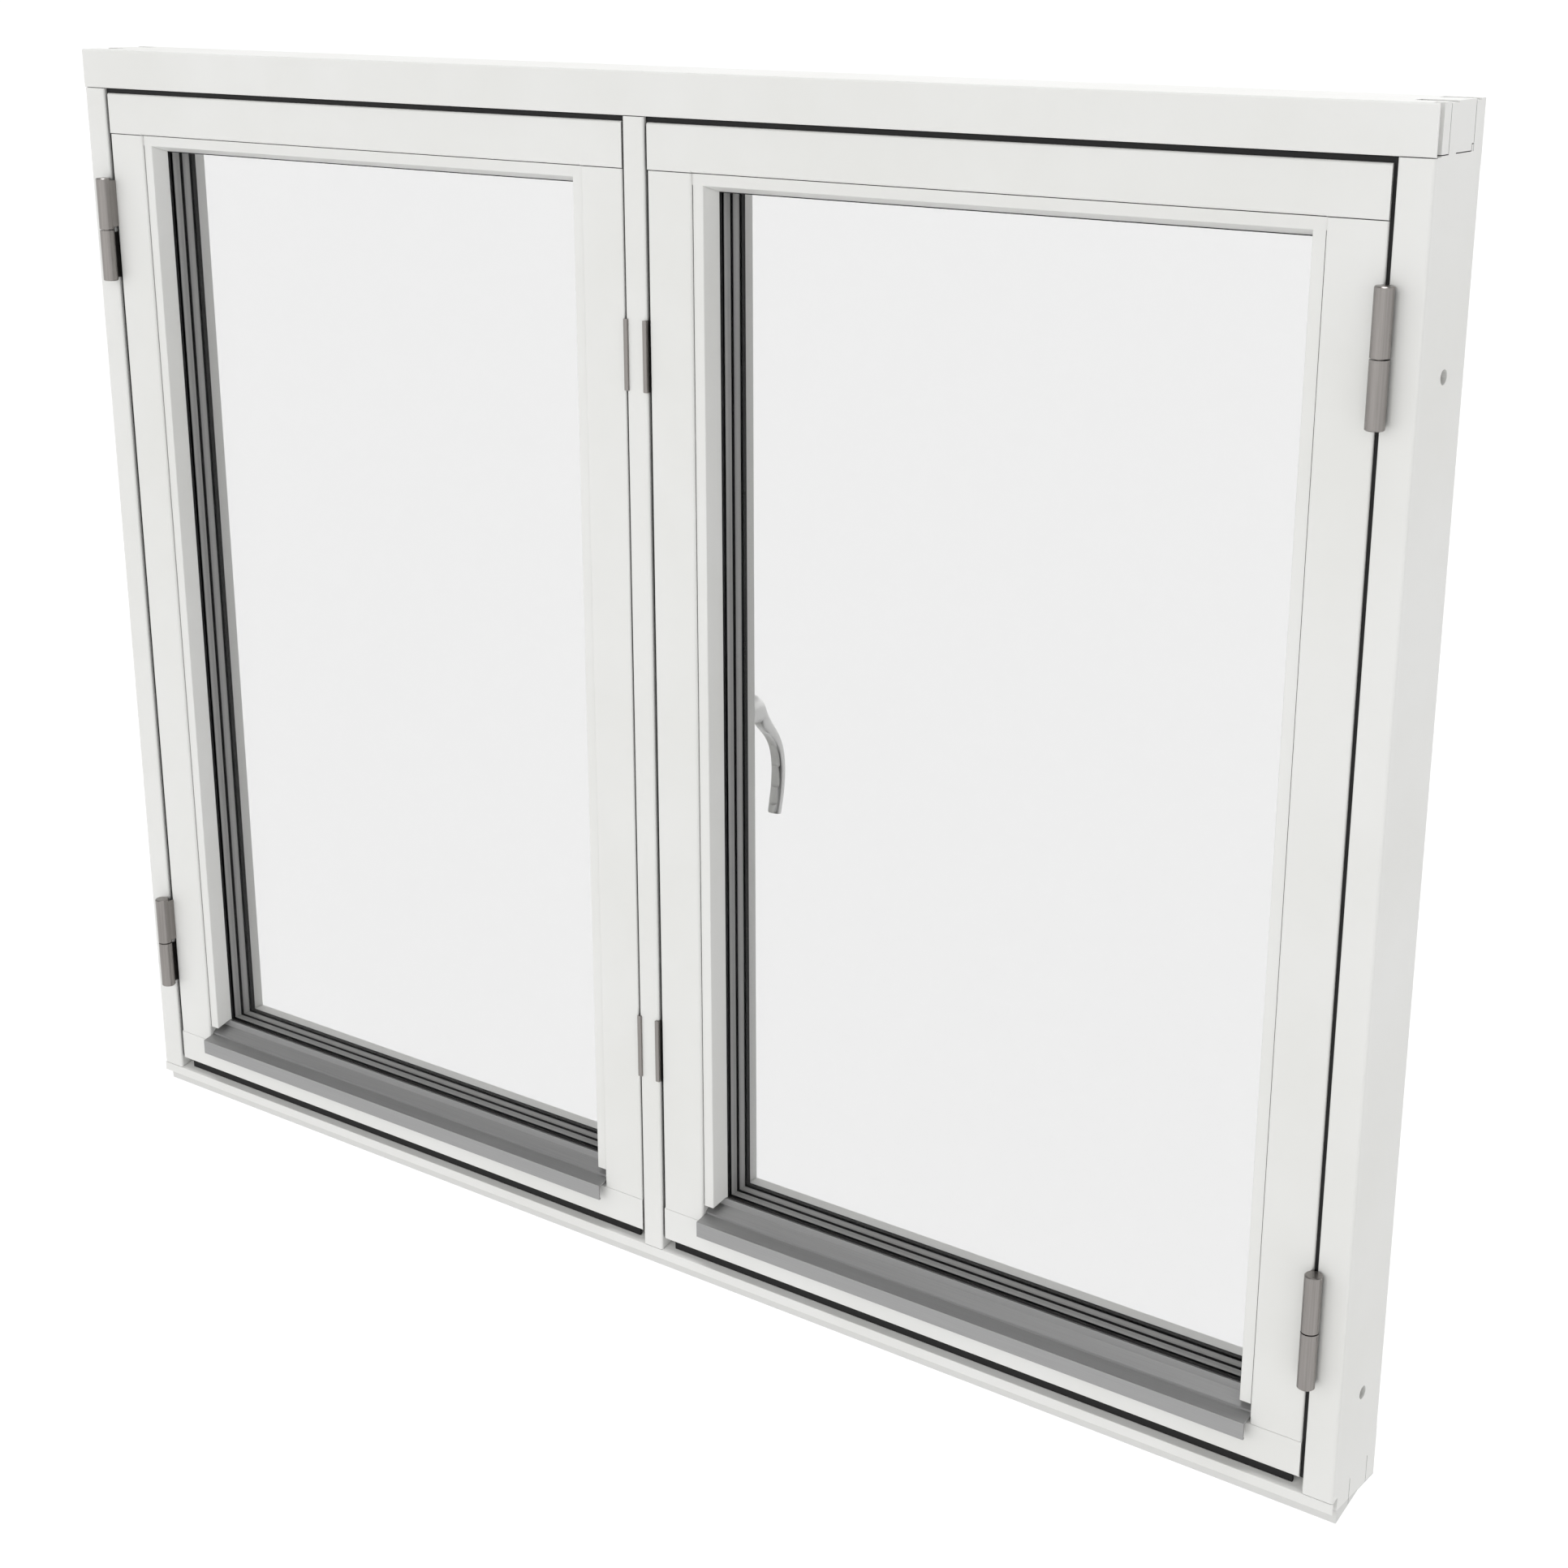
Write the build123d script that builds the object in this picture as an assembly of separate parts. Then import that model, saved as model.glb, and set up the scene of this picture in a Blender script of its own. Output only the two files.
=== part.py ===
from build123d import *
import os

# Two-light timber casement window, side-hung and opening outwards.
# Sizes are in millimetres. X runs along the window and Z is up. A depth is measured inwards from the
# outside face of the frame, and the origin is in the middle of the level seat under the sill.

# Frame
frame_width = 1780.0
frame_height = 1380.0
frame_depth = 97.0
jamb_face = 34.6
head_face = 45.4
mullion_face = 28.6
stop_thickness = 9.0
stop_height = 14.0
head_stop_height = 12.0
frame_arris = 3.0
jamb_outer_arris = 3.0
head_top_arris = 2.0
joint_arris = 1.0
joint_groove = 0.7
joint_groove_depth = 4.0

# Sill: a lip over the flashing, a drained top and a level seat behind a sloped underside
seat_depth = 36.0
sill_lip_height = 12.0
sill_lip_overhang = 11.0
sill_lip_clearance = 1.4
sill_drop = 14.0
sill_slope_run = 60.0
sill_slope_rise = 18.0
sill_stop_height = 25.5

# Comb joints at the frame's corners, as depths where a jamb's fingers start and end
head_finger_start = 25.0
head_finger_end = 41.0
sill_finger_start = 38.0
sill_finger_end = 53.0
back_finger_width = 10.5
finger_gap = 0.9
finger_setback = 1.5
shoulder_rise = 1.9
tongue_step_depth = 3.8
tongue_step_height = 6.0
end_slot_start = 2.0
end_slot_end = 11.0
end_slot_length = 8.0

# Fixing holes through the jambs
fixing_diameter = 14.0
fixing_depth = 53.0
lower_fixing_rise = 117.5
upper_fixing_drop = 237.5

# Sashes
hinge_gap = 4.8
lock_gap = 3.2
head_gap = 6.0
sill_gap = 15.35
stop_gap = 2.0
sash_setback = 2.0
stile_face = 58.5
top_rail_face = 48.3
bottom_rail_face = 40.95
underside_rise = 10.0
sash_arris = 2.5
upstand_height = 17.0
rail_slope_run = 18.0
rail_slope_rise = 12.3
rail_upstand_height = 18.5

# Timber glazing beads
bead_setback = 3.0
bead_depth = 19.0
bead_face = 13.6
top_bead_face = 12.6
bead_splay = 6.8
bead_arris = 1.5
bead_groove = 0.8
bead_foot_height = 21.5
bead_foot_clearance = 0.5

# Glass unit
pane_thickness = 4.0
spacer_thickness = 12.0
spacer_width = 16.5
spacer_foot_width = 15.0
pane_clearance = 4.0
outer_seal_thickness = 3.0
outer_seal_lip = 1.0
outer_seal_foot_lip = 1.7
inner_seal_thickness = 6.0
inner_seal_lip = 3.5
inner_seal_foot_lip = 1.0

# Aluminium bottom bead
sheet_thickness = 1.8
nose_projection = 12.0
drip_return = 2.7
drip_height = 19.0
drip_clearance = 13.4
flap_run = 17.7
flap_rise = 3.8
riser_height = 2.7
weathering_run = 13.5
weathering_rise = 9.3
alu_upstand_thickness = 3.0
alu_upstand_height = 17.8

# Weather seals
seal_depth = 5.0
seal_thickness = 4.0
seal_clearance = 0.8
seal_inset = 10.0
hanging_seal_depth = 9.0
hanging_seal_thickness = 3.0
hanging_seal_clearance = 0.4

# Lift-off hinges
hinge_diameter = 18.2
hinge_length = 126.0
hinge_standoff = 1.2
hinge_offset = 1.25
hinge_split_gap = 1.5
hinge_chamfer = 1.0
pin_diameter = 8.0
pin_length = 40.0
pin_clearance = 0.05
leaf_thickness = 2.5
leaf_depth = 34.0
leaf_inset = 3.0
lower_hinge_rise = 176.2
upper_hinge_drop = 165.0

# Keep plates on the mullion
keep_length = 77.0
keep_thickness = 5.0
keep_proud = 1.5
keep_projection = 2.5
keep_depth = 40.0
lower_keep_rise = 245.4
upper_keep_drop = 243.9

# Handles
handle_rise = 648.25
handle_inset = 19.5
base_width = 27.0
base_height = 62.0
base_thickness = 9.0
base_arris = 3.0
hub_width = 24.0
hub_height = 34.0
hub_length = 20.0
hub_round = 6.0
hub_clearance = 0.3
spindle_diameter = 10.0
spindle_length = 6.0
spindle_clearance = 0.05
grip_width = 17.0
grip_thickness = 14.5
grip_round = 4.5
grip_bend = 25.0
finger_count = 4
finger_pitch = 25.5
finger_depth = 1.5
finger_end = 11.0
# Middle of the lever from the neck to the grip's end, as distance from the sash and height over the spindle
lever_line = [
    (34.5, -16.0), (47.5, -28.5), (60.0, -42.0), (67.5, -60.0), (70.0, -83.0), (68.0, -106.0), (61.5, -135.5),
]

# Worked out from the sizes above: the depths build up from the outside face through the glazing, and the
# sash's upstand takes what the frame's depth leaves behind it
bead_front = sash_setback + bead_setback
bead_back = bead_front + bead_depth
pane_front = bead_back + outer_seal_thickness
pane_pitch = pane_thickness + spacer_thickness
unit_back = pane_front + 2 * pane_pitch + pane_thickness
upstand_front = unit_back + inner_seal_thickness
rebate_depth = frame_depth - stop_thickness
sash_back = rebate_depth - stop_gap
front_y = seat_depth / 2 - frame_depth
back_finger_start = rebate_depth - back_finger_width
half_width = frame_width / 2
half_mullion = mullion_face / 2
jamb_inside = half_width - jamb_face
head_underside = frame_height - head_face
sill_lip_top = sill_lip_clearance + sill_lip_height
sill_shelf = sill_lip_top + sill_slope_rise
lock_edge = half_mullion + lock_gap
hinge_edge = jamb_inside - hinge_gap
sash_top = head_underside - head_gap
sash_bottom = sill_lip_top + sill_gap
bottom_rail_top = sash_bottom + bottom_rail_face
top_rail_bottom = sash_top - top_rail_face
glass_shelf = bottom_rail_top + rail_slope_rise
glass_shelf_start = sash_setback + rail_slope_run
lock_wall = lock_edge + stile_face
hinge_wall = hinge_edge - stile_face
pane_left = lock_wall + pane_clearance
pane_right = hinge_wall - pane_clearance
pane_bottom = glass_shelf + pane_clearance
pane_top = top_rail_bottom - pane_clearance
alu_top = glass_shelf + alu_upstand_height
hinge_axis_x = jamb_inside + hinge_offset
fixing_heights = (lower_fixing_rise, frame_height - upper_fixing_drop)
hinge_splits = (sash_bottom + lower_hinge_rise, sash_top - upper_hinge_drop)
keep_heights = (sash_bottom + lower_keep_rise, sash_top - upper_keep_drop)
handle_height = sash_bottom + handle_rise
hinge_radius = hinge_diameter / 2
hinge_axis_depth = -hinge_standoff - hinge_radius
handle_x = lock_wall + upstand_height - handle_inset
hub_front = sash_back + base_thickness + hub_clearance
finger_radius = finger_pitch ** 2 / (8 * finger_depth)


def at(depth):
    return front_y + depth


def profile(points, radii=None):
    """Closed outline with a rounding at each corner, or sharp corners where no radii are given."""
    if radii is None:
        return make_face(Polyline(*points, close=True))
    return make_face(FilletPolyline(*points, radius=radii, close=True))


def along_x(outline, x_from, x_to):
    """Bar with a section drawn as (depth, height) between two places along the window."""
    plane = Plane((x_from, front_y, 0), x_dir=(0, 1, 0), z_dir=(1, 0, 0))
    return extrude(plane * outline, x_to - x_from)


def along_z(outline, z_from, z_to):
    """Post with a section drawn as (x, depth) between two heights."""
    plane = Plane((0, front_y, z_from), x_dir=(1, 0, 0), z_dir=(0, 0, 1))
    return extrude(plane * outline, z_to - z_from)


def block(x_from, x_to, depth_from, depth_to, z_from, z_to):
    size = (x_to - x_from, depth_to - depth_from, z_to - z_from)
    middle = ((x_from + x_to) / 2, at((depth_from + depth_to) / 2), (z_from + z_to) / 2)
    return Pos(*middle) * Box(*size)


def mirrored(shape):
    return mirror(shape, about=Plane.YZ)


def both_sides(shape):
    return [shape, mirrored(shape)]


# Frame

def sill_blank(x_from, x_to):
    points = [
        (0, sill_lip_clearance), (0, sill_lip_top), (sill_slope_run, sill_shelf),
        (rebate_depth, sill_shelf), (rebate_depth, sill_shelf + sill_stop_height),
        (frame_depth, sill_shelf + sill_stop_height), (frame_depth, 0), (frame_depth - seat_depth, 0),
        (sill_lip_overhang, -sill_drop), (sill_lip_overhang, sill_lip_clearance),
    ]
    radii = [joint_arris, joint_arris] + [0] * (len(points) - 2)
    return along_x(profile(points, radii), x_from, x_to)


def below_sill_top():
    """All that lies under the sill's drained top and stop, for trimming the posts that stand on it."""
    low = -sill_drop - jamb_face
    points = [
        (-hinge_diameter, low), (-hinge_diameter, sill_lip_top), (0, sill_lip_top),
        (sill_slope_run, sill_shelf), (rebate_depth, sill_shelf),
        (rebate_depth, sill_shelf + sill_stop_height),
        (frame_depth + stop_thickness, sill_shelf + sill_stop_height), (frame_depth + stop_thickness, low),
    ]
    return along_x(profile(points), -half_width, half_width)


def finger_blocks(first_start, first_end, z_from, z_to, gap=0.0):
    """Right jamb's two fingers, each narrower than its slot by the gap on its outdoor side."""
    spans = [(first_start, first_end), (back_finger_start, rebate_depth)]
    return [block(jamb_inside, half_width, start + gap, end, z_from, z_to) for start, end in spans]


def end_slot(z_from, z_to):
    """Open slot behind the front lip at a corner."""
    return block(half_width - end_slot_length, half_width, end_slot_start, end_slot_end, z_from, z_to)


def head():
    points = [
        (0, head_underside), (0, frame_height), (frame_depth, frame_height),
        (frame_depth, head_underside - head_stop_height), (rebate_depth, head_underside - head_stop_height),
        (rebate_depth, head_underside),
    ]
    radii = [joint_arris, head_top_arris, joint_arris, 0, 0, 0]
    bar = along_x(profile(points, radii), -half_width, half_width)
    tongue_bottom = head_underside + shoulder_rise
    shoulder = block(jamb_inside, half_width, end_slot_start, rebate_depth, head_underside, tongue_bottom)
    step = block(jamb_inside, half_width, back_finger_start - tongue_step_depth, back_finger_start,
                 head_underside, tongue_bottom + tongue_step_height)
    slots = finger_blocks(head_finger_start, head_finger_end, head_underside, frame_height)
    for cutter in slots + [shoulder, step, end_slot(head_underside, frame_height)]:
        bar -= both_sides(cutter)
    return bar


def sill():
    bar = sill_blank(-half_width, half_width)
    slots = finger_blocks(sill_finger_start, sill_finger_end, -sill_drop, sill_shelf)
    for cutter in slots + [end_slot(-sill_drop, sill_shelf)]:
        bar -= both_sides(cutter)
    return bar


def joint_line(depth, height, side):
    """Narrow groove on a post's end where it meets a bar, with side as 1 above the joint and -1 below it."""
    low, high = sorted((height, height + side * joint_groove))
    return block(-half_width, half_width, depth, depth + joint_groove_depth, low, high)


def right_jamb(head_bar):
    points = [
        (half_width, 0), (half_width, frame_depth), (jamb_inside - stop_height, frame_depth),
        (jamb_inside - stop_height, rebate_depth), (jamb_inside, rebate_depth), (jamb_inside, 0),
    ]
    radii = [jamb_outer_arris, joint_arris, 0, 0, 0, frame_arris]
    post = along_z(profile(points, radii), -sill_drop, head_underside)
    post = post - below_sill_top() - head_bar
    shoulder_top = head_underside + shoulder_rise - finger_gap
    post += block(jamb_inside, half_width, end_slot_end, rebate_depth, head_underside, shoulder_top)
    step_start = back_finger_start - tongue_step_depth + finger_gap
    post += block(jamb_inside, half_width, step_start, back_finger_start,
                  head_underside, shoulder_top + tongue_step_height)
    finger_top = frame_height - finger_setback
    for finger in finger_blocks(head_finger_start, head_finger_end, head_underside, finger_top, finger_gap):
        post += finger
    for finger in finger_blocks(sill_finger_start, sill_finger_end, -sill_drop, sill_shelf, finger_gap):
        post += finger & sill_blank(jamb_inside, half_width)
    post = post - joint_line(0, head_underside, -1) - joint_line(0, sill_lip_top, 1)
    for height in fixing_heights:
        hole = Rot(0, 90, 0) * Cylinder(fixing_diameter / 2, 2 * jamb_face)
        post -= Pos(half_width - jamb_face / 2, at(fixing_depth), height) * hole
    for split in hinge_splits:
        post -= frame_leaf(split)
    return post


def mullion(head_bar):
    points = [
        (half_mullion, 0), (half_mullion, rebate_depth), (half_mullion + stop_height, rebate_depth),
        (half_mullion + stop_height, frame_depth), (-half_mullion - stop_height, frame_depth),
        (-half_mullion - stop_height, rebate_depth), (-half_mullion, rebate_depth), (-half_mullion, 0),
    ]
    radii = [frame_arris] + [0] * (len(points) - 2) + [frame_arris]
    post = along_z(profile(points, radii), -sill_drop, head_underside)
    post = post - below_sill_top() - head_bar
    post = post - joint_line(0, head_underside, -1) - joint_line(0, sill_lip_top, 1)
    for height in keep_heights:
        post -= both_sides(keep_plate(height))
    return post


# Right sash: the left one is its mirror image

def top_rail():
    points = [
        (sash_setback, top_rail_bottom), (sash_setback, sash_top), (sash_back, sash_top),
        (sash_back, top_rail_bottom - upstand_height), (upstand_front, top_rail_bottom - upstand_height),
        (upstand_front, top_rail_bottom),
    ]
    bar = along_x(profile(points, [joint_arris, sash_arris, 0, 0, 0, 0]), lock_edge, hinge_edge)
    corner = Pos(sash_setback + frame_arris, top_rail_bottom + frame_arris)
    arris = corner * Rectangle(frame_arris, frame_arris, align=(Align.MAX, Align.MAX))
    arris -= corner * Circle(frame_arris)
    return bar - along_x(arris, lock_wall, hinge_wall)


def bottom_rail():
    points = [
        (sash_setback, sash_bottom), (sash_setback, bottom_rail_top), (glass_shelf_start, glass_shelf),
        (upstand_front, glass_shelf), (upstand_front, glass_shelf + rail_upstand_height),
        (sash_back, glass_shelf + rail_upstand_height), (sash_back, sash_bottom + underside_rise),
    ]
    radii = [sash_arris, joint_arris] + [0] * (len(points) - 2)
    return along_x(profile(points, radii), lock_edge, hinge_edge)


def stile(edge, inwards, rails):
    """Stile from a sash edge, with inwards as 1 where the glass is towards +X and -1 where it isn't."""
    wall = edge + inwards * stile_face
    sight = wall + inwards * upstand_height
    points = [
        (edge, sash_setback), (wall, sash_setback), (wall, upstand_front), (sight, upstand_front),
        (sight, sash_back), (edge, sash_back),
    ]
    post = along_z(profile(points, [sash_arris, frame_arris, 0, 0, 0, 0]), bottom_rail_top, top_rail_bottom)
    for rail in rails:
        post -= rail
    post -= joint_line(sash_setback, top_rail_bottom, -1)
    return post - joint_line(sash_setback, bottom_rail_top, 1)


def top_bead():
    points = [
        (bead_front, top_rail_bottom - bead_groove), (bead_front, top_rail_bottom - top_bead_face),
        (bead_back, top_rail_bottom - top_bead_face - bead_splay), (bead_back, top_rail_bottom),
        (bead_front + joint_groove_depth, top_rail_bottom),
        (bead_front + joint_groove_depth, top_rail_bottom - bead_groove),
    ]
    return along_x(profile(points, [0, bead_arris, 0, 0, 0, 0]), lock_wall, hinge_wall)


def side_bead(wall, inwards, upper_bead):
    face_edge = wall + inwards * bead_face
    sight = face_edge + inwards * bead_splay
    groove_side = wall + inwards * bead_groove
    groove_back = bead_front + joint_groove_depth
    points = [
        (groove_side, bead_front), (face_edge, bead_front), (sight, bead_back), (wall, bead_back),
        (wall, groove_back), (groove_side, groove_back),
    ]
    outline = profile(points, [0, bead_arris, 0, 0, 0, 0])
    bar = along_z(outline, bottom_rail_top, top_rail_bottom - bead_groove)
    foot = bottom_rail_top + bead_foot_height
    foot_back = alu_top + bead_foot_clearance
    under_foot = [
        (bead_front, bottom_rail_top), (bead_front, foot),
        (bead_back - alu_upstand_thickness, foot_back), (bead_back, foot_back), (bead_back, bottom_rail_top),
    ]
    return bar - upper_bead - along_x(profile(under_foot), lock_wall, hinge_wall)


def aluminium_bead():
    """Thin extrusion: drip nose, flap, weathering and an upstand that stands on the glass shelf."""
    nose = sash_setback - nose_projection
    drip_foot = bottom_rail_top - drip_clearance
    flap_front = drip_foot + drip_height
    flap_back = flap_front + flap_rise
    line = Polyline(
        (nose + drip_return, drip_foot), (nose, drip_foot), (nose, flap_front),
        (nose + flap_run, flap_back), (nose + flap_run, flap_back + riser_height),
        (nose + flap_run + weathering_run, flap_back + riser_height + weathering_rise),
    )
    sheet = make_face(offset(line, sheet_thickness, side=Side.RIGHT, kind=Kind.INTERSECTION))
    upstand = profile([
        (bead_back - alu_upstand_thickness, glass_shelf), (bead_back - alu_upstand_thickness, alu_top),
        (bead_back, alu_top), (bead_back, glass_shelf),
    ])
    return along_x(sheet + upstand, lock_wall, hinge_wall)


def pane_sheet(depth):
    return block(pane_left, pane_right, depth, depth + pane_thickness, pane_bottom, pane_top)


def ring(depth_from, depth_to, left, right, bottom, top):
    """Rectangular ring inside the panes' outline, open between the four given sides."""
    solid = block(pane_left, pane_right, depth_from, depth_to, pane_bottom, pane_top)
    return solid - block(left, right, depth_from, depth_to, bottom, top)


def panes():
    return [pane_sheet(pane_front + place * pane_pitch) for place in range(3)]


def spacers():
    starts = [pane_front + pane_thickness + place * pane_pitch for place in range(2)]
    return [
        ring(start, start + spacer_thickness, pane_left + spacer_width, pane_right - spacer_width,
             pane_bottom + spacer_foot_width, pane_top - spacer_width)
        for start in starts
    ]


def glazing_seals():
    outer_sight = bead_splay + outer_seal_lip
    side_sight = bead_face + outer_sight
    outer = ring(bead_back, pane_front, lock_wall + side_sight, hinge_wall - side_sight,
                 alu_top + outer_seal_foot_lip, top_rail_bottom - top_bead_face - outer_sight)
    inner_sight = upstand_height + inner_seal_lip
    inner = ring(unit_back, upstand_front, lock_wall + inner_sight, hinge_wall - inner_sight,
                 glass_shelf + rail_upstand_height + inner_seal_foot_lip, top_rail_bottom - inner_sight)
    return [outer, inner]


def weather_seals(rail):
    """Strips on the sash's edges, which fill the gaps, and one that hangs under the bottom rail."""
    seal_back = seal_depth + seal_thickness
    high = head_underside - seal_clearance
    lock_strip = block(half_mullion + seal_clearance, lock_edge, seal_depth, seal_back, sash_bottom, high)
    keep_reach = half_mullion + keep_proud + seal_clearance
    half_notch = keep_length / 2 + seal_clearance
    for height in keep_heights:
        lock_strip -= block(half_mullion, keep_reach, seal_depth, seal_back,
                            height - half_notch, height + half_notch)
    hinge_strip = block(hinge_edge, jamb_inside - seal_clearance, seal_depth, seal_back, sash_bottom, high)
    top_strip = block(lock_edge, hinge_edge, seal_depth, seal_back, sash_top, high)
    hanging_back = hanging_seal_depth + hanging_seal_thickness
    foot = sill_lip_top + hanging_seal_clearance
    slope = sill_slope_rise / sill_slope_run
    points = [
        (hanging_seal_depth, foot + slope * hanging_seal_depth), (hanging_seal_depth, bottom_rail_top),
        (hanging_back, bottom_rail_top), (hanging_back, foot + slope * hanging_back),
    ]
    hanging = along_x(profile(points), lock_edge + seal_inset, hinge_edge - seal_inset)
    return [lock_strip, hinge_strip, top_strip, hanging - rail]


# Hinges

def hinge_rod(radius, z_from, z_to):
    return Pos(hinge_axis_x, at(hinge_axis_depth), (z_from + z_to) / 2) * Cylinder(radius, z_to - z_from)


def barrel(z_split, z_end):
    """Knuckle with a plain end at the split and a chamfered outer end."""
    body = hinge_rod(hinge_radius, min(z_split, z_end), max(z_split, z_end))
    rims = body.edges().filter_by(GeomType.CIRCLE)
    return chamfer(rims.sort_by_distance((hinge_axis_x, at(hinge_axis_depth), z_end))[0], hinge_chamfer)


def frame_leaf(split):
    low = split - hinge_length / 2 + leaf_inset
    high = split - hinge_split_gap / 2 - leaf_inset
    return block(jamb_inside, jamb_inside + leaf_thickness, hinge_axis_depth, leaf_depth, low, high)


def sash_leaf(split):
    low = split + hinge_split_gap / 2 + leaf_inset
    high = split + hinge_length / 2 - leaf_inset
    return block(hinge_edge - leaf_thickness, hinge_edge, hinge_axis_depth, leaf_depth, low, high)


def hinge_frame_half(split):
    seat = split - hinge_split_gap / 2
    body = barrel(seat, split - hinge_length / 2) + frame_leaf(split)
    return body + hinge_rod(pin_diameter / 2, seat, split + pin_length)


def hinge_sash_half(split):
    body = barrel(split + hinge_split_gap / 2, split + hinge_length / 2) + sash_leaf(split)
    return body - hinge_rod(pin_diameter / 2 + pin_clearance, split, split + pin_length)


# Mullion keeps

def keep_plate(height):
    outer = half_mullion + keep_proud
    return block(outer - keep_thickness, outer, -keep_projection, keep_depth,
                 height - keep_length / 2, height + keep_length / 2)


# Handles

def handle_base():
    plate = block(handle_x - base_width / 2, handle_x + base_width / 2, sash_back, sash_back + base_thickness,
                  handle_height - base_height / 2, handle_height + base_height / 2)
    plate = fillet(plate.edges().filter_by(Axis.Y), base_width / 2 - base_arris)
    plate = chamfer(plate.faces().sort_by(Axis.Y)[-1].edges(), base_arris)
    return plate - spindle(spindle_diameter / 2 + spindle_clearance)


def spindle(radius):
    place = at(sash_back + base_thickness - spindle_length / 2 + hub_clearance / 2)
    rod = Rot(90, 0, 0) * Cylinder(radius, spindle_length + hub_clearance)
    return Pos(handle_x, place, handle_height) * rod


def finger_hollow(line, distance):
    """Cutter for one shallow finger hollow on the grip's sash side, at a distance along the lever."""
    middle = line.position_at(distance, PositionMode.LENGTH)
    ahead = line.tangent_at(distance, PositionMode.LENGTH)
    reach = grip_thickness / 2 - finger_depth + finger_radius
    place = (handle_x, at(sash_back) + middle.X + ahead.Y * reach, handle_height + middle.Y - ahead.X * reach)
    return Pos(*place) * Rot(0, 90, 0) * Cylinder(finger_radius, grip_width)


def handle_lever():
    """Hub, S-shaped neck and hanging grip in one casting, with its spindle in the base."""
    hub_plane = Plane((handle_x, at(hub_front), handle_height), x_dir=(1, 0, 0), z_dir=(0, 1, 0))
    hub = extrude(hub_plane * Ellipse(hub_width / 2, hub_height / 2), hub_length)
    hub = chamfer(hub.faces().sort_by(Axis.Y)[-1].edges(), hub_round)
    neck_start = base_thickness + hub_clearance + grip_thickness
    line = FilletPolyline((neck_start, 0), *lever_line, radius=grip_bend)
    outline = make_face(offset(line, grip_thickness / 2, side=Side.BOTH))
    plane = Plane((handle_x - grip_width / 2, at(sash_back), handle_height), x_dir=(0, 1, 0), z_dir=(1, 0, 0))
    grip = extrude(plane * outline, grip_width)
    sides = grip.faces().filter_by(Axis.X)
    grip = chamfer(sides.edges(), grip_round)
    for finger in range(finger_count):
        grip -= finger_hollow(line, line.length - finger_end - (finger + 0.5) * finger_pitch)
    return hub + grip + spindle(spindle_diameter / 2)


def build():
    nodes = {}
    nodes["frame_head"] = head()
    nodes["frame_sill"] = sill()
    nodes["frame_right_jamb"] = right_jamb(nodes["frame_head"])
    nodes["frame_left_jamb"] = mirrored(nodes["frame_right_jamb"])
    nodes["frame_mullion"] = mullion(nodes["frame_head"])

    sash = {}
    sash["sash_top_rail"] = top_rail()
    sash["sash_bottom_rail"] = bottom_rail()
    rails = [sash["sash_top_rail"], sash["sash_bottom_rail"]]
    sash["sash_lock_stile"] = stile(lock_edge, 1, rails)
    sash["sash_hinge_stile"] = stile(hinge_edge, -1, rails)
    for split in hinge_splits:
        sash["sash_hinge_stile"] -= sash_leaf(split)
    sash["top_bead"] = top_bead()
    sash["lock_side_bead"] = side_bead(lock_wall, 1, sash["top_bead"])
    sash["hinge_side_bead"] = side_bead(hinge_wall, -1, sash["top_bead"])
    sash["aluminium_bead"] = aluminium_bead()
    sash["panes"] = Compound(children=panes())
    sash["spacers"] = Compound(children=spacers())
    sash["glazing_seals"] = Compound(children=glazing_seals())
    sash["weather_seals"] = Compound(children=weather_seals(sash["sash_bottom_rail"]))
    sash["hinge_frame_halves"] = Compound(children=[hinge_frame_half(split) for split in hinge_splits])
    sash["hinge_sash_halves"] = Compound(children=[hinge_sash_half(split) for split in hinge_splits])
    sash["keep_plates"] = Compound(children=[keep_plate(height) for height in keep_heights])
    sash["handle_base"] = handle_base()
    sash["handle_lever"] = handle_lever()

    for name, shape in sash.items():
        nodes["right_" + name] = shape
        nodes["left_" + name] = mirrored(shape)
    return nodes


os.makedirs("parts", exist_ok=True)
for node_name, node_shape in build().items():
    export_step(node_shape, "parts/" + node_name + ".step")
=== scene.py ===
import math

import bpy
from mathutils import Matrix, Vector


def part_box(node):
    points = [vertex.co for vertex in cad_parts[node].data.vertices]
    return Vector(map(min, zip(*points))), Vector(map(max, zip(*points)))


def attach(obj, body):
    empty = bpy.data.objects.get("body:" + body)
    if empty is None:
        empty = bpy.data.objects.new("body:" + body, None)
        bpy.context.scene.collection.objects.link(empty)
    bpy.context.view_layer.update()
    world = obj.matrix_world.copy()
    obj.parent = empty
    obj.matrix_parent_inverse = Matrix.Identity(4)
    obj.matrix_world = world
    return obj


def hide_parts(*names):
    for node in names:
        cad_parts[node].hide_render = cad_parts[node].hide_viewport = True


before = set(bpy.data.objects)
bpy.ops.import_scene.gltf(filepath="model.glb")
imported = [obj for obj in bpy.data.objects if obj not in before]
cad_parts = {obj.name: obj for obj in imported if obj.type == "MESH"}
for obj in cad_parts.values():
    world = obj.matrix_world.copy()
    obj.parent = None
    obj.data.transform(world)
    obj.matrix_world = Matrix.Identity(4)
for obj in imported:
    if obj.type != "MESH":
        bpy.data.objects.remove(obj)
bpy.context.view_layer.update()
print("frame loaded with", len(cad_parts), "nodes")


# sRGB hex to the linear values that shader sockets take
def hexColour(text):
    values = []
    for start in (0, 2, 4):
        part = int(text[start:start + 2], 16) / 255
        values.append(part / 12.92 if part <= 0.04045 else ((part + 0.055) / 1.055) ** 2.4)
    return (*values, 1.0)


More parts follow.
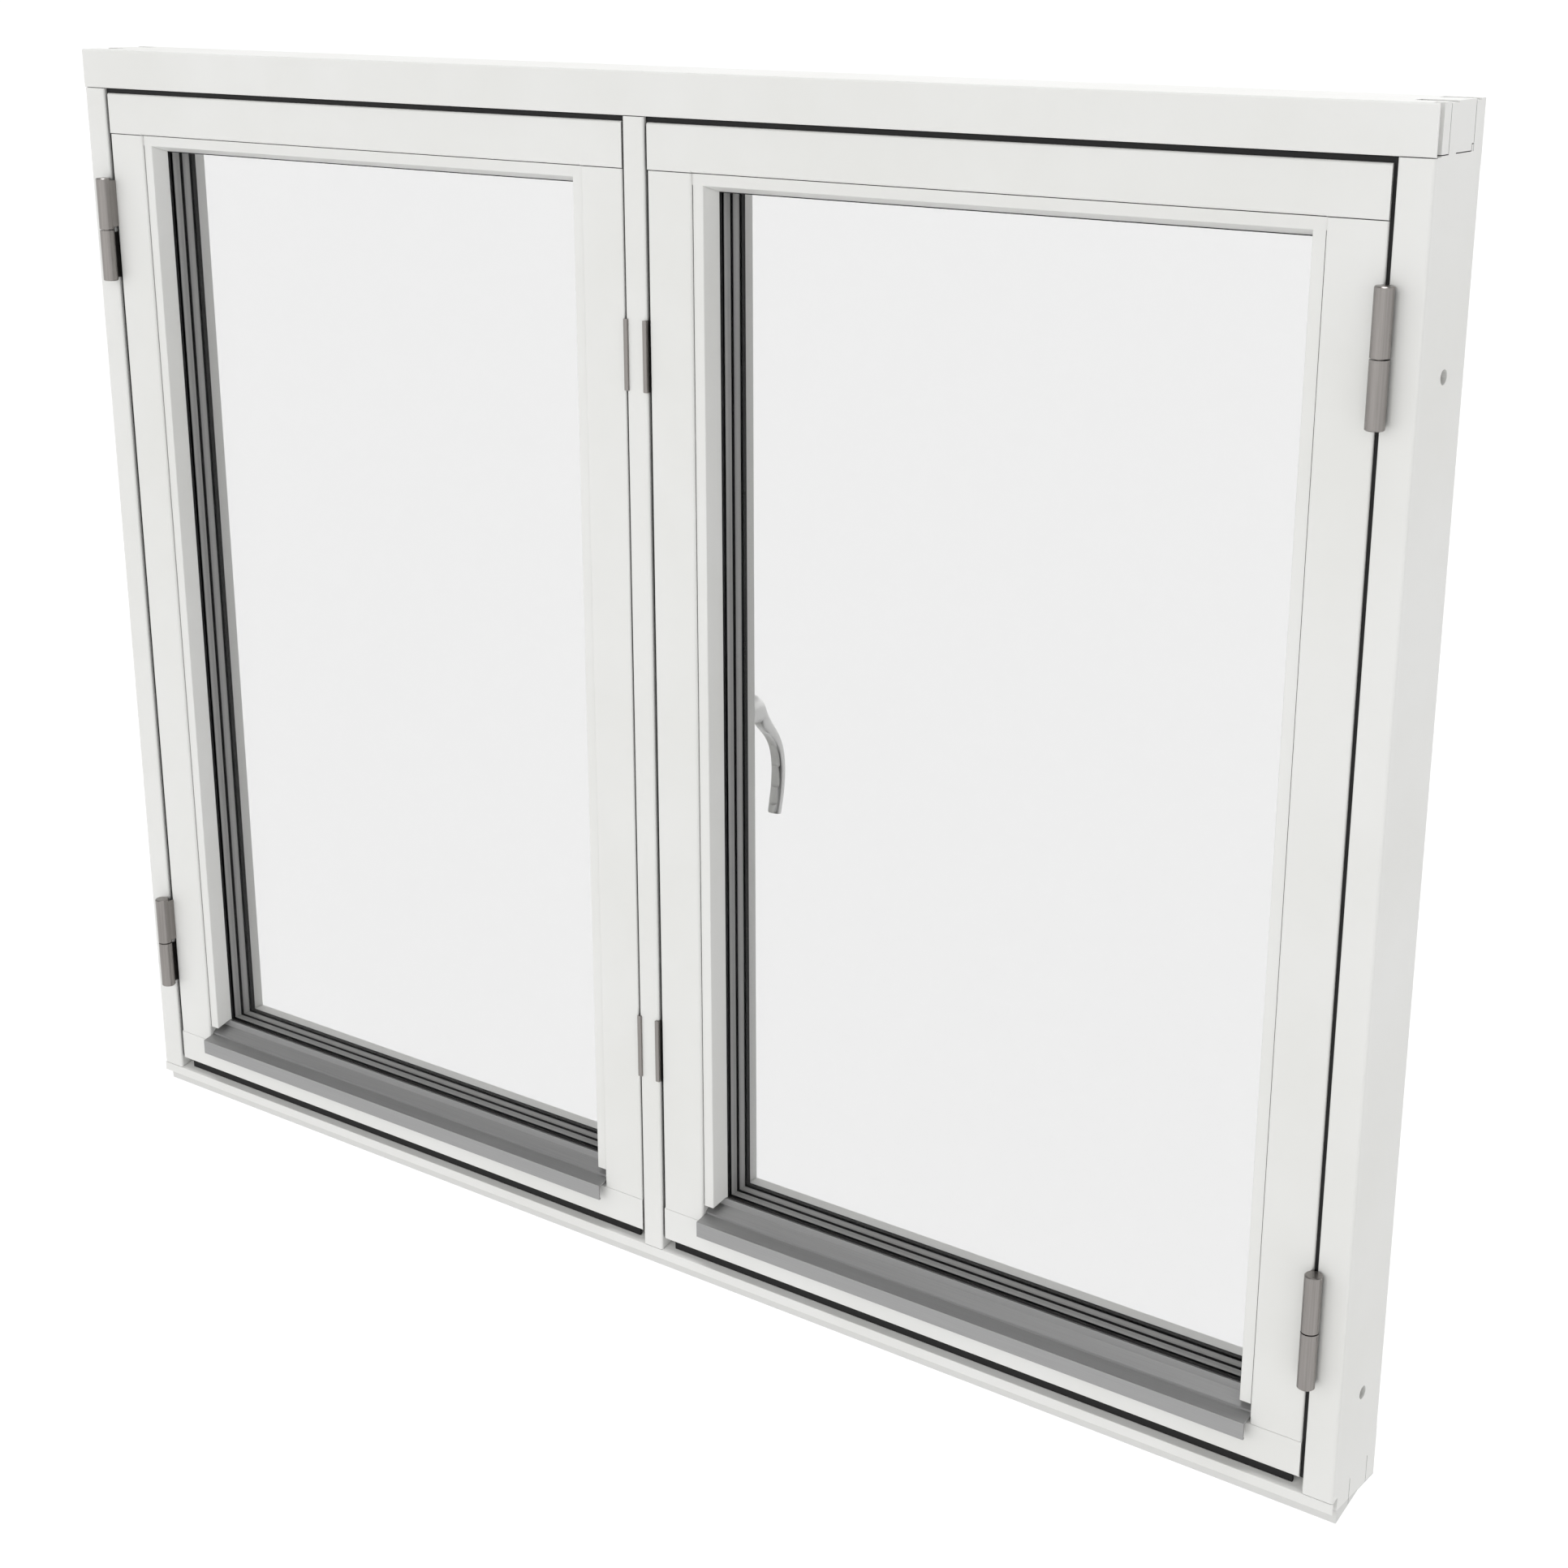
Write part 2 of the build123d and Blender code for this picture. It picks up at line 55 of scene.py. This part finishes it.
# links and values name an input, or give its number, and settings are the node's own
def addNode(tree, kind, links=(), values=(), **settings):
    node = tree.nodes.new(kind)
    for name, setting in settings.items():
        setattr(node, name, setting)
    for key, socket in links:
        tree.links.new(node.inputs[key], socket)
    for key, value in values:
        node.inputs[key].default_value = value
    return node


def newMaterial(name):
    material = bpy.data.materials.new(name)
    material.use_nodes = True
    tree = material.node_tree
    return material, tree, tree.nodes["Principled BSDF"]


def dress(nodeNames, material):
    for name in nodeNames:
        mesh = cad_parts[name].data
        mesh.materials.clear()
        mesh.materials.append(material)


def bothSashes(*names):
    return [side + name for side in ("left_", "right_") for name in names]


# camera at the photo's viewing angle, fitted to the frame's straight edges
cameraSettings = {
    "place": (1.79842, -2.18875, 1.51648),
    "turnDegrees": (71.686, 0.0403, 37.165),
    "lensMm": 59.10,
    "sensorMm": 36,
    "clipEnd": 500,
}
bpy.ops.object.select_all(action="DESELECT")
bpy.ops.object.camera_add(
    location=cameraSettings["place"],
    rotation=[math.radians(angle) for angle in cameraSettings["turnDegrees"]],
)
camera = bpy.context.object
camera.data.lens = cameraSettings["lensMm"]
camera.data.sensor_width = cameraSettings["sensorMm"]
camera.data.clip_end = cameraSettings["clipEnd"]
bpy.context.scene.camera = camera

# white floor well under the window, a soft light overhead, and a dome that is brightest low in front and behind
stageSettings = {
    "floorHeight": -2.0,
    "floorSize": 600,
    "floorColour": "f7f7f7",
    "domeFront": 1.88,
    "domeSide": 0.42,
    "domeTopShare": 0.3,
    "domeFadeHeights": (0.35, 0.75),
    "overheadStrength": 1.75,
    "overheadAngleDegrees": 30,
    "overheadGlintShare": 0.35,
}
bpy.ops.mesh.primitive_plane_add(size=stageSettings["floorSize"], location=(0, 0, stageSettings["floorHeight"]))
floor = bpy.context.object
floor.name = "floor"
floorMaterial, floorTree, floorShader = newMaterial("matt white floor")
floorShader.inputs["Base Color"].default_value = hexColour(stageSettings["floorColour"])
floorShader.inputs["Roughness"].default_value = 1.0
floorShader.inputs["Specular IOR Level"].default_value = 0.0
floor.data.materials.append(floorMaterial)

world = bpy.context.scene.world or bpy.data.worlds.new("studio")
bpy.context.scene.world = world
world.use_nodes = True
dome = world.node_tree
domePlace = addNode(dome, "ShaderNodeTexCoord")
domeSplit = addNode(dome, "ShaderNodeSeparateXYZ", [("Vector", domePlace.outputs["Generated"])])
domeAway = addNode(dome, "ShaderNodeMath", [(0, domeSplit.outputs["Y"])], operation="ABSOLUTE")
domeAround = addNode(dome, "ShaderNodeMapRange", [("Value", domeAway.outputs[0])],
                     [("To Min", stageSettings["domeSide"]), ("To Max", stageSettings["domeFront"])])
domeUp = addNode(dome, "ShaderNodeMapRange", [("Value", domeSplit.outputs["Z"])],
                 [("From Min", stageSettings["domeFadeHeights"][0]),
                  ("From Max", stageSettings["domeFadeHeights"][1]),
                  ("To Min", 1.0), ("To Max", stageSettings["domeTopShare"])])
domeLight = addNode(dome, "ShaderNodeMath", [(0, domeAround.outputs["Result"]), (1, domeUp.outputs["Result"])],
                    operation="MULTIPLY")
dome.links.new(dome.nodes["Background"].inputs["Strength"], domeLight.outputs[0])
dome.nodes["Background"].inputs["Color"].default_value = (1, 1, 1, 1)

bpy.ops.object.light_add(
    type="SUN",
    location=(0, 0, 5),
)
overhead = bpy.context.object
overhead.data.energy = stageSettings["overheadStrength"]
overhead.data.angle = math.radians(stageSettings["overheadAngleDegrees"])
overhead.data.specular_factor = stageSettings["overheadGlintShare"]
bpy.context.scene.view_settings.view_transform = "Standard"
print("camera, floor and light ready")

# planed pine sprayed with satin white lacquer: smooth and even, with the grain only just felt under it
# narrow joints, gaps and inner corners get painted shade: an ambient occlusion mask darkens the lacquer there towards
# near black
lacquerSettings = {
    "light": "dddddb",
    "dark": "d9d9d6",
    # painted shade colour for the lacquer under the sill's lip
    "underLipShade": "cbcbc9",
    "underLipShadeBelowMm": 1.4,     # painted shade under the sill's lip, below this height
    # painted shade colour for joints, gaps and inner corners
    "joint": "1e1d1c",
    "jointReachMm": 8,
    "jointOpenings": (0.15, 0.45),
    "jointSamples": 4,
    "toneMm": 160,
    "grainMm": 2.4,     # coarser than pine's rings, so that it shows
    "grainStretch": 45,
    "grainHeightMm": 0.03,
    "peelMm": 2.5,      # coarser than a real spray pattern, so that it shows
    "peelHeightMm": 0.015,
    "roughness": 0.42,
    "roughnessChange": 0.04,
    "bumpStrength": 0.3,
    "sheen": 0.3,
}


# grainAxis is 0 for level timber and 2 for upright timber
def lacquer(name, grainAxis):
    material, tree, shader = newMaterial(name)
    place = addNode(tree, "ShaderNodeTexCoord")
    tone = addNode(tree, "ShaderNodeTexNoise", [("Vector", place.outputs["Object"])],
                   [("Scale", 1000 / lacquerSettings["toneMm"]), ("Detail", 3.0)])
    spread = addNode(tree, "ShaderNodeMapRange", [("Value", tone.outputs["Fac"])],
                     [("From Min", 0.3), ("From Max", 0.7)])
    colour = addNode(tree, "ShaderNodeMix", [("Factor", spread.outputs["Result"])],
                     [(6, hexColour(lacquerSettings["dark"])), (7, hexColour(lacquerSettings["light"]))],
                     data_type="RGBA")
    split = addNode(tree, "ShaderNodeSeparateXYZ", [("Vector", place.outputs["Object"])])
    # painted shade: lacquer below the sill's lip is darkened to stand in for the lip's shadow
    below = addNode(tree, "ShaderNodeMath", [(0, split.outputs["Z"])],
                    [(1, lacquerSettings["underLipShadeBelowMm"] / 1000)], operation="LESS_THAN")
    underLipShaded = addNode(tree, "ShaderNodeMix", [("Factor", below.outputs[0]), (6, colour.outputs[2])],
                   [(7, hexColour(lacquerSettings["underLipShade"]))], data_type="RGBA")
    # painted shade: ambient occlusion within a few mm darkens joints, gaps and inner corners
    occlusion = addNode(tree, "ShaderNodeAmbientOcclusion", (),
                      [("Distance", lacquerSettings["jointReachMm"] / 1000)], samples=lacquerSettings["jointSamples"])
    paintedShadeMask = addNode(tree, "ShaderNodeMapRange", [("Value", occlusion.outputs["AO"])],
                      [("From Min", lacquerSettings["jointOpenings"][0]),
                       ("From Max", lacquerSettings["jointOpenings"][1])])
    sprayed = addNode(tree, "ShaderNodeMix", [("Factor", paintedShadeMask.outputs["Result"]), (7, underLipShaded.outputs[2])],
                      [(6, hexColour(lacquerSettings["joint"]))], data_type="RGBA")
    stretch = [1.0, 1.0, 1.0]
    stretch[grainAxis] = 1 / lacquerSettings["grainStretch"]
    lengthways = addNode(tree, "ShaderNodeMapping", [("Vector", place.outputs["Object"])], [("Scale", stretch)])
    grain = addNode(tree, "ShaderNodeTexNoise", [("Vector", lengthways.outputs["Vector"])],
                    [("Scale", 1000 / lacquerSettings["grainMm"]), ("Detail", 4.0), ("Distortion", 0.3)])
    peel = addNode(tree, "ShaderNodeTexNoise", [("Vector", place.outputs["Object"])],
                   [("Scale", 1000 / lacquerSettings["peelMm"]), ("Detail", 2.0)])
    grainBump = addNode(tree, "ShaderNodeBump", [("Height", grain.outputs["Fac"])],
                        [("Strength", lacquerSettings["bumpStrength"]),
                         ("Distance", lacquerSettings["grainHeightMm"] / 1000)])
    peelBump = addNode(tree, "ShaderNodeBump",
                       [("Height", peel.outputs["Fac"]), ("Normal", grainBump.outputs["Normal"])],
                       [("Strength", lacquerSettings["bumpStrength"]),
                        ("Distance", lacquerSettings["peelHeightMm"] / 1000)])
    gloss = addNode(tree, "ShaderNodeMapRange", [("Value", grain.outputs["Fac"])],
                    [("To Min", lacquerSettings["roughness"] - lacquerSettings["roughnessChange"]),
                     ("To Max", lacquerSettings["roughness"] + lacquerSettings["roughnessChange"])])
    tree.links.new(shader.inputs["Base Color"], sprayed.outputs[2])
    tree.links.new(shader.inputs["Normal"], peelBump.outputs["Normal"])
    tree.links.new(shader.inputs["Roughness"], gloss.outputs["Result"])
    shader.inputs["Specular IOR Level"].default_value = lacquerSettings["sheen"]
    return material


uprightPaint = lacquer("white lacquered upright pine", 2)
levelPaint = lacquer("white lacquered level pine", 0)
dress(["frame_left_jamb", "frame_right_jamb", "frame_mullion"], uprightPaint)
dress(bothSashes("sash_lock_stile", "sash_hinge_stile", "lock_side_bead", "hinge_side_bead"), uprightPaint)
dress(["frame_head", "frame_sill"], levelPaint)
dress(bothSashes("sash_top_rail", "sash_bottom_rail", "top_bead"), levelPaint)

# clear float glass: three panes take a little grey from what is behind them, and their faces wave by a hair
glassSettings = {"tint": "f7f7f7", "waveMm": 240, "waveHeightMm": 0.01, "ior": 1.1}
glass, glassTree, glassShader = newMaterial("clear float glass")
glassPlace = addNode(glassTree, "ShaderNodeTexCoord")
glassWave = addNode(glassTree, "ShaderNodeTexNoise", [("Vector", glassPlace.outputs["Object"])],
                    [("Scale", 1000 / glassSettings["waveMm"]), ("Detail", 1.0)])
glassBump = addNode(glassTree, "ShaderNodeBump", [("Height", glassWave.outputs["Fac"])],
                    [("Strength", 0.2), ("Distance", glassSettings["waveHeightMm"] / 1000)])
glassTree.links.new(glassShader.inputs["Normal"], glassBump.outputs["Normal"])
glassShader.inputs["Base Color"].default_value = hexColour(glassSettings["tint"])
glassShader.inputs["Roughness"].default_value = 0.0
glassShader.inputs["IOR"].default_value = glassSettings["ior"]
glassShader.inputs["Transmission Weight"].default_value = 1.0
dress(bothSashes("panes"), glass)

# roll formed spacer bars: matt grey with faint lines, and black sealing compound where they meet the panes
spacerSettings = {
    "bar": "b6b6b4",
    "barShade": "a6a6a4",
    "compound": "2a2a2a",
    "compoundMm": 1.0,
    "barMm": 12.0,
    "pitchMm": 16.0,
    "lineMm": 1.6,
    "roughness": 0.6,
}
spacer, spacerTree, spacerShader = newMaterial("grey spacer bar with black compound")
spacerPlace = addNode(spacerTree, "ShaderNodeTexCoord")
spacerSplit = addNode(spacerTree, "ShaderNodeSeparateXYZ", [("Vector", spacerPlace.outputs["Object"])])
spacerDepth = addNode(spacerTree, "ShaderNodeMath", [(0, spacerSplit.outputs["Y"])],
                      [(1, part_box("right_spacers")[0][1])], operation="SUBTRACT")  # depth from the first bar's face
spacerFold = addNode(spacerTree, "ShaderNodeMath", [(0, spacerDepth.outputs[0])],
                     [(1, spacerSettings["pitchMm"] / 1000)], operation="FLOORED_MODULO")
spacerMiddle = addNode(spacerTree, "ShaderNodeMath", [(0, spacerFold.outputs[0])],
                       [(1, spacerSettings["barMm"] / 2000)], operation="SUBTRACT")
spacerAway = addNode(spacerTree, "ShaderNodeMath", [(0, spacerMiddle.outputs[0])], operation="ABSOLUTE")
spacerEdge = addNode(spacerTree, "ShaderNodeMath", [(0, spacerAway.outputs[0])],
                     [(1, (spacerSettings["barMm"] / 2 - spacerSettings["compoundMm"]) / 1000)],
                     operation="GREATER_THAN")
spacerLine = addNode(spacerTree, "ShaderNodeTexWave", [("Vector", spacerPlace.outputs["Object"])],
                     [("Scale", 1000 / spacerSettings["lineMm"] / 20), ("Distortion", 0.4)], bands_direction="Y")
spacerTone = addNode(spacerTree, "ShaderNodeMix", [("Factor", spacerLine.outputs["Fac"])],
                     [(6, hexColour(spacerSettings["barShade"])), (7, hexColour(spacerSettings["bar"]))],
                     data_type="RGBA")
spacerColour = addNode(spacerTree, "ShaderNodeMix",
                       [("Factor", spacerEdge.outputs[0]), (6, spacerTone.outputs[2])],
                       [(7, hexColour(spacerSettings["compound"]))], data_type="RGBA")
spacerTree.links.new(spacerShader.inputs["Base Color"], spacerColour.outputs[2])
spacerShader.inputs["Roughness"].default_value = spacerSettings["roughness"]
dress(bothSashes("spacers"), spacer)

# extruded rubber: dense matt black with the faint speckle of its filler
rubberSettings = {
    "dark": "121212",
    "light": "1e1e1e",
    "speckleMm": 1.2,
    "speckleHeightMm": 0.03,
    "roughness": 0.7,
    "sheen": 0.3,
}
rubber, rubberTree, rubberShader = newMaterial("extruded black rubber")
rubberPlace = addNode(rubberTree, "ShaderNodeTexCoord")
rubberSpeckle = addNode(rubberTree, "ShaderNodeTexNoise", [("Vector", rubberPlace.outputs["Object"])],
                        [("Scale", 1000 / rubberSettings["speckleMm"]), ("Detail", 2.0)])
rubberTone = addNode(rubberTree, "ShaderNodeMix", [("Factor", rubberSpeckle.outputs["Fac"])],
                     [(6, hexColour(rubberSettings["dark"])), (7, hexColour(rubberSettings["light"]))],
                     data_type="RGBA")
rubberBump = addNode(rubberTree, "ShaderNodeBump", [("Height", rubberSpeckle.outputs["Fac"])],
                     [("Strength", 0.3), ("Distance", rubberSettings["speckleHeightMm"] / 1000)])
rubberTree.links.new(rubberShader.inputs["Base Color"], rubberTone.outputs[2])
rubberTree.links.new(rubberShader.inputs["Normal"], rubberBump.outputs["Normal"])
rubberShader.inputs["Roughness"].default_value = rubberSettings["roughness"]
rubberShader.inputs["Specular IOR Level"].default_value = rubberSettings["sheen"]
dress(bothSashes("glazing_seals", "weather_seals"), rubber)


# bare or plated metal, whose marks run along one axis where stretch is over 1
def metal(name, settings):
    material, tree, shader = newMaterial(name)
    place = addNode(tree, "ShaderNodeTexCoord")
    stretch = [1.0, 1.0, 1.0]
    stretch[settings["axis"]] = 1 / settings["stretch"]
    lengthways = addNode(tree, "ShaderNodeMapping", [("Vector", place.outputs["Object"])], [("Scale", stretch)])
    marks = addNode(tree, "ShaderNodeTexNoise", [("Vector", lengthways.outputs["Vector"])],
                    [("Scale", 1000 / settings["markMm"]), ("Detail", 3.0), ("Roughness", 0.6)])
    spread = addNode(tree, "ShaderNodeMapRange", [("Value", marks.outputs["Fac"])],
                     [("From Min", 0.3), ("From Max", 0.7)])
    colour = addNode(tree, "ShaderNodeMix", [("Factor", spread.outputs["Result"])],
                     [(6, hexColour(settings["dark"])), (7, hexColour(settings["light"]))], data_type="RGBA")
    gloss = addNode(tree, "ShaderNodeMapRange", [("Value", marks.outputs["Fac"])],
                    [("To Min", settings["roughness"] - settings["roughnessChange"]),
                     ("To Max", settings["roughness"] + settings["roughnessChange"])])
    bump = addNode(tree, "ShaderNodeBump", [("Height", marks.outputs["Fac"])],
                   [("Strength", 0.25), ("Distance", settings["markHeightMm"] / 1000)])
    tree.links.new(shader.inputs["Base Color"], colour.outputs[2])
    tree.links.new(shader.inputs["Roughness"], gloss.outputs["Result"])
    tree.links.new(shader.inputs["Normal"], bump.outputs["Normal"])
    shader.inputs["Metallic"].default_value = 1.0
    return material


# natural anodised extrusion: flat satin grey with drawing lines along its length
anodisedSettings = {
    "light": "a6a6a6",
    "dark": "9d9d9d",
    "axis": 0,
    "stretch": 120,
    "markMm": 1.0,      # coarser than real drawing lines, so that they show
    "markHeightMm": 0.02,
    "roughness": 0.55,
    "roughnessChange": 0.06,
}
dress(bothSashes("aluminium_bead"), metal("natural anodised aluminium", anodisedSettings))

# zinc plated steel, tumbled before plating: warm grey with soft upright streaks
platedSettings = {
    "light": "999592",
    "dark": "8b8784",
    "axis": 2,
    "stretch": 60,
    "markMm": 1.6,      # coarser than real plating streaks, so that they show
    "markHeightMm": 0.02,
    "roughness": 0.32,
    "roughnessChange": 0.06,
}
platedSteel = metal("satin zinc plated steel", platedSettings)
dress(bothSashes("hinge_frame_halves", "hinge_sash_halves", "keep_plates"), platedSteel)

# die cast aluminium, bead blasted to an even satin silver
castSettings = {
    "light": "cacac9",
    "dark": "c0c0bf",
    "axis": 2,
    "stretch": 1,
    "markMm": 0.8,      # coarser than the real blasting, so that it shows
    "markHeightMm": 0.02,
    "roughness": 0.36,
    "roughnessChange": 0.05,
}
castAluminium = metal("bead blasted cast aluminium", castSettings)
dress(bothSashes("handle_base", "handle_lever"), castAluminium)
print("materials ready")

# lever handle: an oval hub that turns down through a neck into a hanging grip with four finger hollows
# a ring is its distance from the sash and height over the spindle in mm, the way it faces in degrees below level,
# and half its thickness and width in mm
leverSettings = {
    "sides": 40,
    "rings": [
        (9.4, -0.5, 0, 16.5, 11.6),
        (10.4, -0.5, 0, 17.6, 12.2),
        (18.0, -0.5, 0, 17.8, 12.2),
        (25.5, -0.5, 0, 17.4, 12.0),
        (30.5, -2.5, 6, 15.2, 11.2),
        (33.5, -8.0, 24, 11.6, 10.4),
        (37.5, -16.5, 44, 9.4, 9.4),
        (47.5, -28.5, 47, 8.0, 8.8),
        (58.5, -41.0, 53, 7.5, 8.6),
        (66.0, -56.0, 70, 7.3, 8.5),
        (69.6, -74.0, 84, 7.25, 8.5),
        (69.6, -92.0, 95, 7.25, 8.5),
        (67.4, -110.0, 100, 7.25, 8.5),
        (63.8, -126.0, 102, 7.2, 8.4),
        (61.9, -134.6, 103, 7.1, 8.3),
        (61.6, -135.8, 103, 6.6, 7.8),
    ],
    "smoothLevels": 2,
    "capInset": 1.5,
    "gripHalfThickness": 7.25,
    "hollows": [(63.2, -49.5, 63), (69.6, -75.3, 85), (68.6, -101.3, 97), (64.7, -122.0, 101)],
    "hollowHalfWidth": 13.0,
    "hollowHalfDepth": 7.5,
    "hollowReachDown": 5.5,
    "hollowReachUp": 27.0,
    "hollowDepth": 2.8,
    "hollowSegments": 64,
    "hollowRings": 48,
    "creaseDegrees": 28,
}


# a flat ring at the origin is drawn to its oval, turned and then moved to its place
def shapeRing(index, axisX, sashBack, axisZ):
    distance, height, facing, halfThickness, halfWidth = leverSettings["rings"][index]
    origin = (0, 0, 0)
    bpy.ops.transform.resize(value=(halfWidth / 1000, halfThickness / 1000, 1), center_override=origin)
    bpy.ops.transform.rotate(value=math.radians(90 + facing), orient_axis="X", center_override=origin)
    bpy.ops.transform.translate(value=(axisX, sashBack + distance / 1000, axisZ + height / 1000))


def selectRings(mesh, first, count):
    sides = leverSettings["sides"]
    bpy.ops.mesh.select_mode(type="VERT")
    bpy.ops.mesh.select_all(action="DESELECT")
    bpy.ops.object.mode_set(mode="OBJECT")
    for vertex in mesh.vertices[first * sides:(first + count) * sides]:
        vertex.select = True
    bpy.ops.object.mode_set(mode="EDIT")


# one spoon shaped hollow on the grip's sash side, cut by an egg that lies along the grip with its blunt end down
def cutHollow(lever, axisX, sashBack, axisZ, distance, height, facing):
    along = math.radians(-facing)
    away = leverSettings["gripHalfThickness"] - leverSettings["hollowDepth"] + leverSettings["hollowHalfDepth"]
    bpy.ops.object.select_all(action="DESELECT")
    bpy.ops.mesh.primitive_uv_sphere_add(
        segments=leverSettings["hollowSegments"],
        ring_count=leverSettings["hollowRings"],
        radius=1.0,
        location=(axisX, sashBack + (distance + math.sin(along) * away) / 1000,
                  axisZ + (height - math.cos(along) * away) / 1000),
        rotation=(along - math.pi / 2, 0, 0),
    )
    egg = bpy.context.object
    for vertex in egg.data.vertices:
        reach = leverSettings["hollowReachDown"] if vertex.co.z > 0 else leverSettings["hollowReachUp"]
        vertex.co.x *= leverSettings["hollowHalfWidth"] / 1000
        vertex.co.y *= leverSettings["hollowHalfDepth"] / 1000
        vertex.co.z *= reach / 1000
    bpy.context.view_layer.objects.active = lever
    cut = lever.modifiers.new("finger hollow", "BOOLEAN")
    cut.operation = "DIFFERENCE"
    cut.object = egg
    bpy.ops.object.modifier_apply(modifier=cut.name)
    bpy.data.objects.remove(egg)


def makeLever(name, baseNode):
    baseLow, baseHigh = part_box(baseNode)
    axisX = (baseLow[0] + baseHigh[0]) / 2
    axisZ = (baseLow[2] + baseHigh[2]) / 2
    sashBack = baseLow[1]
    ringCount = len(leverSettings["rings"])
    bpy.ops.object.select_all(action="DESELECT")
    bpy.ops.mesh.primitive_circle_add(vertices=leverSettings["sides"], radius=1.0)
    lever = bpy.context.object
    lever.name = name
    bpy.ops.object.mode_set(mode="EDIT")
    bpy.ops.mesh.select_all(action="SELECT")
    shapeRing(0, axisX, sashBack, axisZ)
    for index in range(1, ringCount):
        bpy.ops.mesh.select_all(action="DESELECT")
        bpy.ops.mesh.primitive_circle_add(vertices=leverSettings["sides"], radius=1.0)
        shapeRing(index, axisX, sashBack, axisZ)
    for index in range(ringCount - 1):
        selectRings(lever.data, index, 2)
        bpy.ops.mesh.bridge_edge_loops()
    for index in (0, ringCount - 1):
        selectRings(lever.data, index, 1)
        bpy.ops.mesh.edge_face_add()
        bpy.ops.mesh.inset(thickness=leverSettings["capInset"] / 1000)
    bpy.ops.mesh.select_all(action="SELECT")
    bpy.ops.mesh.normals_make_consistent(inside=False)
    bpy.ops.object.mode_set(mode="OBJECT")
    smooth = lever.modifiers.new("smooth", "SUBSURF")
    smooth.levels = leverSettings["smoothLevels"]
    smooth.render_levels = leverSettings["smoothLevels"]
    bpy.ops.object.modifier_apply(modifier=smooth.name)
    for distance, height, facing in leverSettings["hollows"]:
        cutHollow(lever, axisX, sashBack, axisZ, distance, height, facing)
    lever.select_set(True)
    bpy.ops.object.shade_smooth_by_angle(angle=math.radians(leverSettings["creaseDegrees"]))
    lever.data.materials.clear()
    lever.data.materials.append(castAluminium)
    print(name, len(lever.data.polygons), "faces")
    return lever


for side, body in (("right", "right_handle"), ("left", "window")):
    lever = makeLever(side + "_lever", side + "_handle_base")
    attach(lever, body)
    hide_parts(side + "_handle_lever")
print("lever handles ready")
